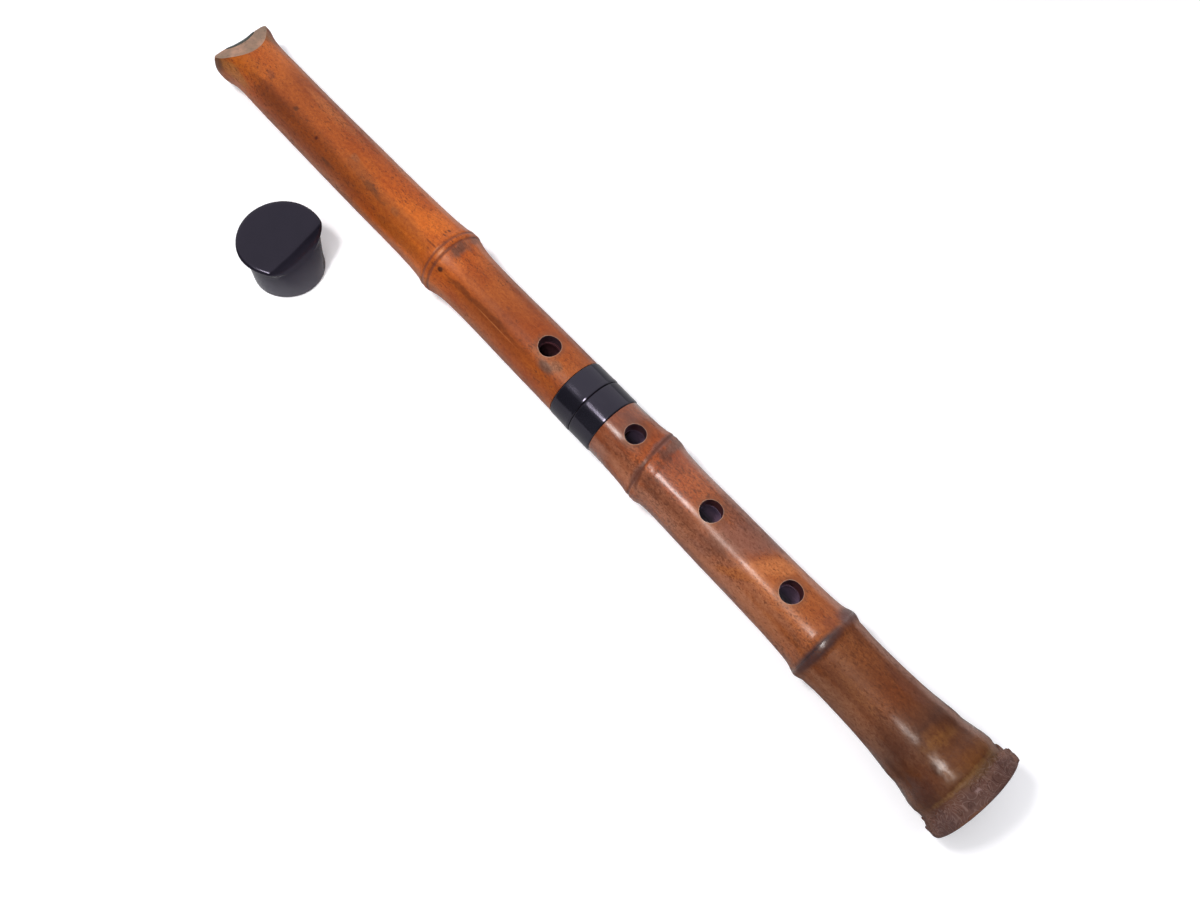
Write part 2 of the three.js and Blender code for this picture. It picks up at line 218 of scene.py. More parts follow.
def make_turning_tree():
    """Turns a closed outline of [station, radius] points round the flute's axis."""
    tree, given, result = new_tree("Turned stem", "GeometryNodeTree", {
        "Outline": "Geometry", "Sides": 144, "Wave Height": 0.1, "Wave Length": 20.0,
        "Rough Length": 3.0, "Seed": 1.0, "Finish": "Material"}, {"Stem": "Geometry"})
    count = put(tree, "GeometryNodeAttributeDomainSize",
                {"Geometry": given["Outline"]}).outputs["Point Count"]
    sheet = put(tree, "GeometryNodeMeshGrid", {
        "Size X": 1.0, "Size Y": 1.0, "Vertices X": plus(given["Sides"], 1.0),
        "Vertices Y": plus(count, 1.0)}).outputs["Mesh"]
    spot = put(tree, "GeometryNodeInputPosition").outputs[0]
    across = parts(spot)
    turn = times(plus(across["X"], 0.5), 2 * math.pi)
    row = maths("MODULO", maths("ROUND", times(plus(across["Y"], 0.5), count)), count)

    def of_outline(value, kind):
        return put(tree, "GeometryNodeSampleIndex", {
            "Geometry": given["Outline"], "Value": value, "Index": row}, data_type=kind).outputs[0]

    def mark(name):
        named = put(tree, "GeometryNodeInputNamedAttribute", {"Name": name}, data_type="FLOAT")
        return of_outline(named.outputs["Attribute"], "FLOAT")

    corner = parts(of_outline(spot, "FLOAT_VECTOR"))
    sine, cosine = maths("SINE", turn), maths("COSINE", turn)
    station = times_plus(mark("slant"), sine, corner["X"])

    def wobble(length, squeeze):
        size = maths("DIVIDE", 1.0, length)
        where = point(times(times(station, squeeze), size), times(times(corner["Y"], sine), size),
                      times(times(corner["Y"], cosine), size))
        return minus(noise_at(where, 1.0, 3.0, {"W": given["Seed"]}, noise_dimensions="4D"), 0.5)

    waves = times(times(wobble(given["Wave Length"], 0.4), given["Wave Height"]), mark("skin"))
    rough = times(wobble(given["Rough Length"], 1.0), mark("rough"))
    radius = plus(corner["Y"], plus(waves, rough))
    place = point(station, times_plus(radius, sine, mark("bow")), times(radius, cosine))
    rolled = put(tree, "GeometryNodeSetPosition", {"Geometry": sheet, "Position": place})
    closed = put(tree, "GeometryNodeMergeByDistance", {
        "Geometry": rolled.outputs[0], "Distance": 1e-4}).outputs[0]
    fill(result, finished(closed, given["Finish"]))
    return tree


def make_drill_tree():
    """A drill at each point of a row: a round bar that stands on the point, along Z."""
    tree, given, result = new_tree("Row of drills", "GeometryNodeTree", {
        "Points": "Geometry", "Radius": 5.5, "Length": 40.0, "Sides": 72, "Finish": "Material"},
        {"Drills": "Geometry"})
    bar = put(tree, "GeometryNodeMeshCylinder", {
        "Vertices": given["Sides"], "Radius": given["Radius"], "Depth": given["Length"]})
    row = put(tree, "GeometryNodeInstanceOnPoints", {
        "Points": given["Points"], "Instance": bar.outputs["Mesh"]}).outputs[0]
    fill(result, finished(row, given["Finish"]))
    return tree


turning = make_turning_tree()
drilling = make_drill_tree()


def show(name, data):
    """Puts a mesh, a lamp or a camera into the scene."""
    piece = bpy.data.objects.new(name, data)
    bpy.context.scene.collection.objects.link(piece)
    return piece


def baked(piece):
    """Turns a piece with modifiers into a plain mesh, and takes the modifiers off."""
    seen = piece.evaluated_get(bpy.context.evaluated_depsgraph_get())
    mesh = bpy.data.meshes.new_from_object(seen)
    piece.modifiers.clear()
    spent, piece.data = piece.data, mesh
    bpy.data.meshes.remove(spent)
    return piece


def in_finish(piece, number):
    piece.data.polygons.foreach_set("material_index", [number] * len(piece.data.polygons))
    return piece


def grown(piece, tree, values):
    """Runs a geometry tree on a piece, with its inputs filled by name. It keeps one finish."""
    modifier = piece.modifiers.new(tree.name, "NODES")
    modifier.node_group = tree
    for name, value in values.items():
        modifier[tree.interface.items_tree[name].identifier] = value
    baked(piece)
    piece.data.materials.clear()
    piece.data.materials.append(values["Finish"])
    return in_finish(piece, 0)


def reworked(mesh, work_on):
    """Takes a mesh through bmesh for a piece of work on it."""
    work = bmesh.new()
    work.from_mesh(mesh)
    work_on(work)
    work.to_mesh(mesh)
    work.free()
    return mesh


def face_outwards(work):
    bmesh.ops.recalc_face_normals(work, faces=work.faces)


def turned(name, outside, inside, finish, slants=(), bow=((0, 0),), rough=((0, 0),),
           wave_height=0.0, seed=1.0):
    """A turned body from an outside and an inside outline, both run towards the root end."""
    points = [*outside, *reversed(inside)]
    outline = bpy.data.meshes.new(name)
    outline.from_pydata([(station, radius, 0) for station, radius in points], [], [])
    on_skin = [1.0] * len(outside) + [0.0] * len(inside)
    lines = {
        "skin": lambda at: 1.0,
        "slant": lambda at: sum(size * bell(at, middle, width) for middle, size, width in slants),
        "bow": lambda at: smooth_line(bow, at), "rough": lambda at: smooth_line(rough, at)}
    for label, line in lines.items():
        outline.attributes.new(label, "FLOAT", "POINT").data.foreach_set(
            "value", [skin * line(station) for (station, _), skin in zip(points, on_skin)])
    piece = grown(show(name, outline), turning, {
        "Sides": stem_sides, "Wave Height": wave_height, "Seed": seed, "Finish": finish})
    reworked(piece.data, face_outwards)
    return piece


def carved(piece, tools, operation="DIFFERENCE"):
    """Cuts tools out of a piece. A cut face keeps the number of its tool's finish."""
    for tool in tools:
        for material in piece.data.materials[len(tool.data.materials):]:
            tool.data.materials.append(material)
        modifier = piece.modifiers.new("cut", "BOOLEAN")
        modifier.operation = operation
        modifier.solver = "EXACT"
        modifier.object = tool
    baked(piece)
    for tool in tools:
        bpy.data.objects.remove(tool)
    return piece


def shaped(name, build, place=Matrix.Identity(4), finish_number=0):
    """A closed shape made with bmesh, placed, with all its faces in one finish."""
    def make(work):
        build(work)
        bmesh.ops.transform(work, matrix=place, verts=work.verts)
        face_outwards(work)
    return in_finish(show(name, reworked(bpy.data.meshes.new(name), make)), finish_number)


def round_bar(radius, start, end, sides=128):
    """Recipe of a round bar along X."""
    def build(work):
        bmesh.ops.create_cone(
            work, cap_ends=True, segments=sides, radius1=radius, radius2=radius,
            depth=end - start, matrix=Matrix.Translation(((start + end) / 2, 0, 0))
            @ Matrix.Rotation(math.pi / 2, 4, "Y"))
    return build


def drills(name, holes, finish):
    """Drills from the axis out, one for each hole of [station, side, radius, offset across]."""
    bars = []
    for station, side, radius, aside in holes:
        foot = bpy.data.meshes.new(name)
        foot.from_pydata([(station, aside, side * drill_length / 2)], [], [])
        bars.append(in_finish(grown(show(name, foot), drilling, {
            "Radius": radius, "Length": drill_length, "Finish": finish}), wall_number))
    return bars


def soften_by_angle(piece, degrees):
    """Smooth shading, with a crease wherever two faces meet at more than an angle."""
    def mark_creases(work):
        for edge in work.edges:
            edge.smooth = (len(edge.link_faces) == 2
                           and edge.calc_face_angle(0) < math.radians(degrees))
    piece.data.shade_smooth()
    reworked(piece.data, mark_creases)


def set_down(piece):
    """Moves a mesh from millimetres along the flute's axis to its place on the table."""
    piece.data.transform(flute_place)
    return piece


def paint(red, green, blue):
    """A colour given as it looks on a screen, from 0 to 255."""
    def linear(value):
        share = value / 255
        return share / 12.92 if share <= 0.04045 else ((share + 0.055) / 1.055) ** 2.4
    return (linear(red), linear(green), linear(blue), 1.0)


def stretched(place, *scales):
    return put(place.id_data, "ShaderNodeMapping", {"Vector": place, "Scale": scales}).outputs[0]


def between(value, low, high, smooth=True, ends=(0, 1)):
    """How far a value has come from low to high, as a share or between two ends."""
    return put(value.id_data, "ShaderNodeMapRange", {
        "Value": value, "From Min": low, "From Max": high, "To Min": ends[0], "To Max": ends[1]},
        interpolation_type="SMOOTHSTEP" if smooth else "LINEAR").outputs[0]


def make_place_group():
    """Where a point is on the flute: millimetres from the mouth, and degrees from the top."""
    tree, given, result = new_tree("Place on the flute", "ShaderNodeTree", {"Place": "Vector"},
                                   {"Along": "Float", "Turn": "Float", "Grain": "Vector"})
    moved = put(tree, "ShaderNodeMapping", {
        "Vector": given["Place"], "Location": -(Matrix.Rotation(flute_rise, 4, "Y") @ mouth_end),
        "Rotation": (0, flute_rise, 0), "Scale": (1000, 1000, 1000)}).outputs[0]
    axes = parts(moved)
    fill(result, {"Along": axes["X"], "Grain": moved,
                  "Turn": times(maths("ARCTAN2", axes["Y"], axes["Z"]), 180 / math.pi)})
    return tree


def make_fibre_group():
    """Long fibres, short dark dashes and cloudy patches of a bamboo skin, all from 0 to 1."""
    names = ("Streak", "Dash", "Freckle", "Cloud", "Mottle", "Fine")
    tree, given, result = new_tree("Bamboo fibre", "ShaderNodeTree", {
        "Grain": "Vector", "Dashes": 0.5}, dict.fromkeys(names, "Float"))

    def noise(stretch, scale, detail=2.0, roughness=0.5):
        return noise_at(stretched(given["Grain"], stretch, 1, 1), scale, detail,
                        {"Roughness": roughness})

    crowd = between(noise(0.4, 0.06), 0.38, 0.6)
    floor = times_plus(given["Dashes"], -0.05, times_plus(crowd, -0.085, 0.69))
    for label, stretch, scale, shift in (("Dash", 0.4, 0.95, 0.0), ("Freckle", 0.6, 1.7, -0.04)):
        low = plus(floor, shift)
        drops = between(noise(stretch, scale, 2.0, 0.55), low, plus(low, 0.06), smooth=False)
        fill(result, {label: drops})
    fill(result, {
        "Streak": between(noise(0.06, 0.42, 3.0, 0.55), 0.36, 0.66),
        "Cloud": between(noise(0.45, 0.075, 3.0), 0.34, 0.66),
        "Mottle": between(noise(0.7, 0.62, 4.0, 0.78), 0.34, 0.66), "Fine": noise(0.12, 2.2, 3.0)})
    return tree


def make_stain_group():
    """A soft-edged patch round a place on the flute, that may lean across the fibres."""
    tree, given, result = new_tree("Tint patch", "ShaderNodeTree", {
        "Along": 0.0, "Turn": 0.0, "Grain": "Vector", "Middle": 0.0, "Middle Turn": 0.0,
        "Half Length": 10.0, "Half Turn": 20.0, "Lean": 0.0, "Ragged": 0.3}, {"Mask": "Float"})
    aside = minus(given["Turn"], given["Middle Turn"])
    off = minus(minus(given["Along"], given["Middle"]), times(aside, given["Lean"]))
    edge = noise_at(stretched(given["Grain"], 0.35, 1, 1), 0.28, 4.0, {"Roughness": 0.62})
    spread = times_plus(times(minus(edge, 0.5), given["Ragged"]), 4.0, far(
        maths("DIVIDE", off, given["Half Length"]), maths("DIVIDE", aside, given["Half Turn"])))
    fill(result, {"Mask": between(spread, 1.25, 0.45)})
    return tree


def make_hole_group():
    """Painted highlight on the worn, rounded rim of a finger hole, and the greyer skin round it,
    handled smooth.
    """
    tree, given, result = new_tree("Hole rim highlight", "ShaderNodeTree", {
        "Grain": "Vector", "Station": 0.0, "Side": 1.0, "Radius": 5.5, "Aside": 0.0},
        {"Rim Highlight": "Float", "Halo": "Float"})
    axes = parts(given["Grain"])
    away = minus(far(minus(axes["X"], given["Station"]), minus(axes["Y"], given["Aside"])),
                 given["Radius"])
    facing = maths("GREATER_THAN", times(axes["Z"], given["Side"]), 0.0)
    fill(result, {"Rim Highlight": times(between(away, 0.42, 0.2), facing),
                  "Halo": times(between(away, 4.0, 0.5), facing)})
    return tree


def make_swirl_group():
    """Thin pale lines that swirl like the cut grain of root wood, from 0 to 1."""
    tree, given, result = new_tree("Root grain", "ShaderNodeTree", {"Grain": "Vector"},
                                   {"Line": "Float"})
    noise = noise_at(given["Grain"], 0.15, 1.0, {"Distortion": 0.8})
    fill(result, {"Line": between(maths("PINGPONG", times(noise, 8.0), 0.5), 0.2, 0.03)})
    return tree


place_group = make_place_group()
fibre_group = make_fibre_group()
patch_group = make_stain_group()
hole_group = make_hole_group()
swirl_group = make_swirl_group()


def group(shared, feeds):
    return put(tree_of(feeds.values()), "ShaderNodeGroup", feeds, node_tree=shared).outputs


def mixed(share, under, over, how="MIX"):
    """One colour laid over another by a share from 0 to 1."""
    return put(share.id_data, "ShaderNodeMix", {0: share, 6: under, 7: over},
               data_type="RGBA", blend_type=how).outputs[2]


def layered(tone, *layers):
    """Lays tints over a tone, each by a mask and how strongly it shows there."""
    for mask, strength, tint, *how in layers:
        tone = mixed(times(mask, strength), tone, paint(*tint), *how)
    return tone


def bump(height, strength, distance):
    return put(height.id_data, "ShaderNodeBump", {
        "Height": height, "Strength": strength, "Distance": distance}).outputs[0]


def own_place(tree):
    return put(tree, "ShaderNodeTexCoord").outputs["Object"]


def new_finish(name):
    """A material with one Principled shader, ready for its colour and roughness."""
    finish = bpy.data.materials.new(name)
    finish.use_nodes = True
    return finish, finish.node_tree, finish.node_tree.nodes["Principled BSDF"]


def flute_finish(name, dashes):
    """A material that follows its place on the flute and the fibres there."""
    finish, tree, shader = new_finish(name)
    spot = group(place_group, {"Place": own_place(tree)})
    return finish, shader, spot, group(fibre_group, {"Grain": spot["Grain"], "Dashes": dashes})


def along_ramp(along, span, stops):
    """Colours that follow each other along the flute, given at their stations."""
    start, end = span
    ramp = put(along.id_data, "ShaderNodeValToRGB", {0: between(along, start, end, smooth=False)})
    elements = ramp.color_ramp.elements
    while len(elements) > 1:
        elements.remove(elements[-1])
    for number, (station, tone) in enumerate(stops):
        at = (station - start) / (end - start)
        stop = elements[0] if number == 0 else elements.new(at)
        stop.position, stop.color = at, tone
    return ramp.outputs["Color"]


rough_run = 4.0  # the length over which the skin passes into the rasped root
coat_roughness = 0.2
warm_shine = (1, 0.8, 0.64, 1)
skin_relief = 0.00012


def skin_finish(name, span, colours, stains_and_painted_light, scars, slants, holes, dashes, dash_strength,
                cloud_tint, gloss, shine, rough_from):
    """The browned skin of a stem: its colours along the flute, fibres, dashes, stain patches with
    painted shade, painted sheen and painted highlights among them, scars, and the hole rims with
    their painted highlight.
    """
    finish, shader, spot, fibre = flute_finish(name, dashes)
    along, grain = spot["Along"], spot["Grain"]
    tone = along_ramp(along, span, [(at, paint(*tint)) for at, tint in colours])
    tone = layered(tone, (fibre["Cloud"], 0.6, cloud_tint, "MULTIPLY"),
                   (fibre["Streak"], 0.2, (170, 120, 90), "MULTIPLY"))
    # Patches of stain, with painted shade, painted sheen and painted highlight among them.
    for middle, middle_turn, half, half_turn, lean, ragged, strength, tint in stains_and_painted_light:
        tone = layered(tone, (group(patch_group, {
            "Along": along, "Turn": spot["Turn"], "Grain": grain, "Middle": middle,
            "Middle Turn": middle_turn, "Half Length": half, "Half Turn": half_turn,
            "Lean": lean, "Ragged": ragged})["Mask"], strength, tint))
    coarse = between(along, rough_from, rough_from + rough_run, smooth=False)
    tone = layered(
        tone, (fibre["Mottle"], times_plus(coarse, -0.3, 0.5), (184, 150, 130), "MULTIPLY"),
        (fibre["Dash"], dash_strength, (72, 36, 20)),
        (fibre["Freckle"], dash_strength * 0.75, (80, 40, 26)))
    sine = maths("SINE", times(spot["Turn"], math.pi / 180))
    lines = []
    for middle, width, strength in scars:
        slant = sum(size * bell(middle, at, reach) for at, size, reach in slants)
        off = maths("ABSOLUTE", minus(along, times_plus(sine, slant, middle)))
        lines.append(times(between(off, width, width * 0.25), strength))
    tone = layered(tone, (maths("MAXIMUM", *lines), times_plus(fibre["Cloud"], 0.35, 0.65),
                          (90, 50, 40)))
    for station, side, radius, aside in holes:
        hole = group(hole_group, {"Grain": grain, "Station": station, "Side": side,
                                  "Radius": radius, "Aside": aside})
        # Greyer skin round each hole, then a painted highlight on its rounded rim.
        tone = layered(tone, (hole["Halo"], 0.35, (104, 70, 54)),
                       (hole["Rim Highlight"], times_plus(fibre["Mottle"], 0.4, 0.16), (180, 152, 132)))
    swirl = times(group(swirl_group, {"Grain": grain})["Line"], coarse)
    tone = layered(tone, (swirl, 0.42, (146, 120, 112)), (coarse, 0.35, (84, 60, 54)))
    roughness, coat = (along_ramp(along, span, [(stop[0], (*[stop[k]] * 3, 1)) for stop in gloss])
                       for k in (1, 2))
    worn = times_plus(fibre["Dash"], 0.15, times_plus(fibre["Cloud"], 0.06, roughness))
    relief = times_plus(fibre["Dash"], -0.6, times_plus(fibre["Mottle"], 0.8, fibre["Fine"]))
    fill(shader, {
        "Base Color": tone, "Roughness": times_plus(coarse, 0.14, worn), "Coat Weight": coat,
        "Coat Roughness": coat_roughness, "Specular IOR Level": shine,
        "Specular Tint": warm_shine,
        "Normal": bump(times_plus(swirl, 1.5, relief), 0.28, skin_relief)})
    return finish


upper_colours = [  # stations, and red, green and blue
    (0, (152, 92, 42)), (22, (200, 106, 38)), (34, (194, 102, 38)), (48, (170, 88, 35)),
    (72, (168, 85, 33)), (96, (178, 91, 35)), (124, (188, 97, 34)), (140, (206, 107, 36)),
    (174, (208, 108, 36)), (184, (196, 101, 38)), (196, (200, 104, 38)), (206, (180, 93, 38)),
    (222, (166, 86, 37)), (236, (162, 83, 37)), (252, (174, 89, 38)), (270, (176, 92, 40)),
    (280, (166, 90, 46)),
]
# Stain patches, with painted shade, sheen and highlight among them: station, degrees from the top,
# half length, half turn, lean, raggedness, strength, tint.
upper_stains_and_painted_light = [
    # Painted shade in part: this row and the next darken the stem's left flank, turned from the
    # light, over the skin's own darker brown.
    (88, -48, 66, 27, 0, 0.2, 0.72, (126, 60, 22)),
    (160, -56, 26, 16, 0.3, 0.25, 0.6, (136, 68, 24)),
    # Painted shade: darker from 20 to 40 degrees left of the top, where the light falls off across
    # the stem.
    (148, -31, 38, 18, 0, 0.2, 0.7, (148, 75, 28)),
    # Painted sheen: a pale greyish band along the right flank, the length of the section.
    (140, 50, 175, 12, 0, 0.15, 0.3, (200, 160, 138)),
    (118, -21, 15, 12, 0, 0.3, 0.75, (146, 76, 35)),
    (28, -24, 10, 10, 0, 0.4, 0.4, (156, 80, 34)),
    (78, 22, 26, 13, 0, 0.3, 0.5, (192, 110, 56)),
    # Painted shade in part: the left flank again, from the node to the joint, over the skin's own
    # darker brown.
    (238, -46, 52, 17, 0, 0.25, 0.6, (140, 69, 26)),
    # Painted reflection: a pale pinkish band along the lower left edge, the length of the section.
    (140, -86, 170, 14, 0, 0.15, 0.5, (166, 108, 72)),
    (22, -36, 13, 19, 0.15, 0.4, 0.75, (178, 92, 26)),
    (18, -66, 16, 14, 0, 0.4, 0.7, (168, 108, 52)),
    (50, -42, 20, 18, 0.1, 0.4, 0.5, (108, 50, 22)),
    (38, -15, 3.4, 6, 0, 0.8, 0.5, (118, 62, 44)),
    (65, -25, 1.6, 5, 0, 0.8, 0.75, (92, 48, 26)),
    (43, -38, 1.5, 3, 0, 0.6, 0.6, (96, 40, 18)),
    (98, -56, 5, 5, 0, 0.6, 0.6, (84, 48, 30)),
    (86, -36.5, 1.3, 4.2, 0, 0.3, 0.95, (76, 24, 14)),
    (132, -29, 9, 9, 0, 0.9, 0.55, (96, 54, 30)),
    (111, -12, 3, 5, 0, 0.8, 0.4, (128, 84, 60)),
    (150, -28, 2.6, 6, 0, 0.8, 0.45, (128, 76, 44)),
    (177.5, -21, 4.6, 1.7, 0.5, 0.3, 0.7, (104, 48, 22)),
    (179, 4, 1.9, 2.2, 0, 0.4, 0.8, (92, 46, 28)),
    (178, 16, 1.1, 2.4, 0, 0.4, 0.8, (104, 50, 26)),
    # Painted highlight on the crest between the node's two grooves.
    (184.5, -20, 1.5, 9, 0, 0.5, 0.5, (200, 130, 84)),
    (190.2, 9, 3.9, 30, 0, 0.7, 0.55, (124, 78, 62)),
    (189.8, 3, 3.0, 16, 0, 0.7, 0.75, (104, 66, 54)),
    (188.6, 42, 2.2, 16, 0, 0.5, 0.7, (132, 92, 78)),
    (196, -14, 4.5, 12, 0, 0.5, 0.6, (198, 102, 40)),
    (190.2, -41.5, 1.4, 4.2, 0, 0.35, 0.97, (36, 18, 14)),
    (222, -39, 30, 8, 0, 0.8, 0.6, (100, 46, 20)),
    (232, -43.5, 18, 1.2, 0, 0.2, 0.55, (188, 112, 64)),
    (231, -4, 2.2, 3.6, 0, 0.5, 0.5, (112, 58, 38)),
    (208, 8, 4, 1.4, 0, 0.4, 0.45, (112, 58, 38)),
    (266.5, -30, 6.6, 9, 0, 0.2, 0.85, (92, 68, 58)),
    (270.5, -15, 3.8, 10, 0, 0.2, 0.6, (124, 88, 66)),
    (268, -50, 16, 9, 0, 0.4, 0.5, (166, 84, 30)),
    (3.5, -72, 6.5, 19, 0, 0.25, 0.9, (92, 54, 26)),
    (11, 44, 9, 16, 0, 0.4, 0.6, (138, 96, 56)),
]
upper_scars = [(182.9, 1.2, 0.75), (186.5, 1.15, 0.8)]  # station, width and strength
upper_gloss = [(0, 0.36, 0), (170, 0.34, 0), (290, 0.32, 0)]  # station, roughness and coat
no_root = 600  # a station past the flute's end
upper_skin = skin_finish(
    "upper bamboo skin", (0, 290), upper_colours, upper_stains_and_painted_light, upper_scars, upper_slants,
    [hole_4, thumb_hole], dashes=0.35, dash_strength=0.55, cloud_tint=(205, 168, 140),
    gloss=upper_gloss, shine=0.34, rough_from=no_root)

cut_bamboo, cut_shader, _, cut_fibre = flute_finish("cut bamboo", 0.6)
cut_tone = mixed(cut_fibre["Cloud"], paint(184, 134, 106), paint(136, 110, 88))
fill(cut_shader, {
    "Base Color": layered(cut_tone, (cut_fibre["Streak"], 0.45, (120, 92, 74)),
                          (cut_fibre["Dash"], 0.5, (92, 70, 58))),
    "Roughness": times_plus(cut_fibre["Cloud"], 0.15, 0.4),
    "Normal": bump(cut_fibre["Fine"], 0.3, 0.00015)})

hole_wall, hole_shader, _, hole_fibre = flute_finish("lacquered hole wall", 0.3)
fill(hole_shader, {
    "Base Color": mixed(hole_fibre["Cloud"], paint(84, 44, 46), paint(66, 46, 56)),
    "Roughness": times_plus(hole_fibre["Fine"], 0.2, 0.22)})


def bevel_wedge(work, front=-2, top=21, half_width=22):
    """What the bevel cuts off: a wedge that reaches past the mouth's front, top and sides."""
    slope = math.tan(bevel_angle)
    side = [(front, bevel_rise + front * slope), ((top - bevel_rise) / slope, top), (front, top)]
    near, far_side = ([work.verts.new((x, y, z)) for x, z in side]
                      for y in (-half_width, half_width))
    work.faces.new(near)
    work.faces.new(reversed(far_side))
    for i in range(3):
        j = (i + 1) % 3
        work.faces.new((near[j], near[i], far_side[i], far_side[j]))


edge_height = bevel_rise + edge_depth * math.tan(bevel_angle)
roof_slope = (mouth_bore - edge_height) / (mouth_hollow_end - edge_depth)
roof_sag = edge_depth * (math.tan(bevel_angle) - roof_slope)
roof_radius = (edge_half_width ** 2 + roof_sag ** 2) / (2 * roof_sag)
roof_reach = mouth_hollow_end + cut_past
roof_sides = 240
inlay_rise = edge_depth / math.cos(bevel_angle) + inlay_length
inlay_radius = (inlay_half_width ** 2 + inlay_rise ** 2) / (2 * inlay_rise)

upper_line = stem_outline(upper_outside, upper_grooves, plain_step, fine_step,
                          [(0, 14), (174, 193)])
upper_piece = turned(
    "upper_stem", [*upper_line, (upper_band_from, band_seat_radius), (upper_end, band_seat_radius)],
    upper_inside, upper_skin, upper_slants, stem_bow, upper_rough, wave_height=0.5, seed=3.0)
upper_piece.data.materials.append(cut_bamboo)
upper_piece.data.materials.append(hole_wall)

mouth_hollow = shaped("mouth hollow", round_bar(
    mouth_bore, -cut_past, mouth_hollow_end + cut_past), finish_number=wall_number)
roof_place = (Matrix.Translation((edge_depth, 0, edge_height))
              @ Matrix.Rotation(-math.atan(roof_slope), 4, "Y")
              @ Matrix.Translation((0, 0, -roof_radius)))
roof = shaped("roof", round_bar(roof_radius, -roof_reach, roof_reach, roof_sides), roof_place)
in_finish(carved(mouth_hollow, [roof], "INTERSECT"), wall_number)
inlay_place = (Matrix.Translation((0, 0, bevel_rise)) @ Matrix.Rotation(-bevel_angle, 4, "Y")
               @ Matrix.Translation((inlay_rise - inlay_radius, 0, inlay_seat_middle))
               @ Matrix.Rotation(math.pi / 2, 4, "Y"))
inlay_seat = shaped("inlay seat", round_bar(
    inlay_radius + inlay_gap, -inlay_seat_depth, inlay_seat_depth), inlay_place, cut_number)
bevel = shaped("bevel", bevel_wedge, finish_number=cut_number)
carved(upper_piece, [mouth_hollow, bevel, inlay_seat,
                     *drills("upper drill", [hole_4, thumb_hole], hole_wall)])
soften_by_angle(upper_piece, crease_angle)
set_down(upper_piece)
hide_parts("upper_culm")
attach(upper_piece, "upper_section")

# Blowing edge: a sliver of dark horn let into the bevel, polished to a thin edge. Its shape is
# the frame's own, and only its finish is made here.

horn, horn_tree, horn_shader = new_finish("dark horn")
horn_veins = noise_at(stretched(own_place(horn_tree), 300, 900, 300), 1.0, 4.0)
fill(horn_shader, {"Base Color": mixed(horn_veins, paint(22, 30, 26), paint(52, 58, 46)),
                   "Roughness": times_plus(horn_veins, 0.15, 0.16)})


def give_finish(node_name, finish):
    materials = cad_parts[node_name].data.materials
    materials.clear()
    materials.append(finish)


give_finish("blowing_edge_inlay", horn)

# Linings of both bores: many coats of red-brown lacquer over a filler, rubbed to a gloss. The
# frame's tubes keep their shape. They show at the mouth, in the holes and at the root end.

lacquer, lacquer_shader, lacquer_spot, lacquer_fibre = flute_finish("bore lacquer", 0.2)
# Further down the bore the lacquer is painted a pale, cloudy purple-grey: a painted reflection of
# the bright room in the glossy lacquer. Up to the joint it keeps its own red-brown.
lacquer_with_painted_reflection = mixed(lacquer_fibre["Cloud"], paint(116, 90, 110), paint(98, 84, 108))
painted_reflection_share = between(lacquer_spot["Along"], 290.0, 315.0, smooth=False)
fill(lacquer_shader, {"Base Color": mixed(painted_reflection_share, paint(88, 50, 56), lacquer_with_painted_reflection),
                      "Roughness": times_plus(lacquer_fibre["Fine"], 0.15, 0.27)})
give_finish("upper_bore_lining", lacquer)
give_finish("lower_bore_lining", lacquer)

# Bands of the middle joint: cord bound into a groove and built up with black lacquer, polished
# until the wraps no longer show. The two meet with a fine dark line and slightly raised lips.

cool_shine = (0.88, 0.79, 1, 1)
band_black, band_shader, _, band_fibre = flute_finish("black band lacquer", 0.2)
fill(band_shader, {
    "Base Color": mixed(band_fibre["Cloud"], paint(26, 25, 32), paint(18, 17, 24)),
    "Roughness": times_plus(band_fibre["Cloud"], 0.05, 0.1),
    "Specular IOR Level": 0.66, "Specular Tint": cool_shine,
    "Normal": bump(band_fibre["Streak"], 0.12, 0.0001)})

band_bore = 15.2
band_crease_angle = 40
bands = {
    "upper_band": ("upper_joint_band", "upper_section", 280.0, 293.5,
                   [(0, 16.45), (0.25, 16.72), (0.7, 16.86), (3, 16.88), (8, 16.9), (11, 16.97),
                    (12.4, 17.1), (13.1, 17.05), (13.5, 16.7)]),
    "lower_band": ("lower_joint_band", "lower_section", 293.8, 307.8,
                   [(0, 16.6), (0.35, 16.84), (0.9, 16.88), (4, 16.88), (9, 16.9), (13.2, 16.92),
                    (13.75, 16.78), (14.0, 16.5)]),
}
for name, (node_name, body, start, end, outside) in bands.items():
    outline = stem_outline([(start + at, radius) for at, radius in outside], [], coarse=0.5,
                           fine=0.25, fine_zones=[(start, start + 1), (end - 2, end)])
    band = turned(name, outline, [(start, band_bore), (end, band_bore)], band_black)
    soften_by_angle(band, band_crease_angle)
    set_down(band)
    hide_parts(node_name)
    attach(band, body)

# Tenon of the middle joint: a ring of bamboo glued into the lower section and lacquered dark
# brown, with fine turning lines. It only shows when the two sections are drawn apart.

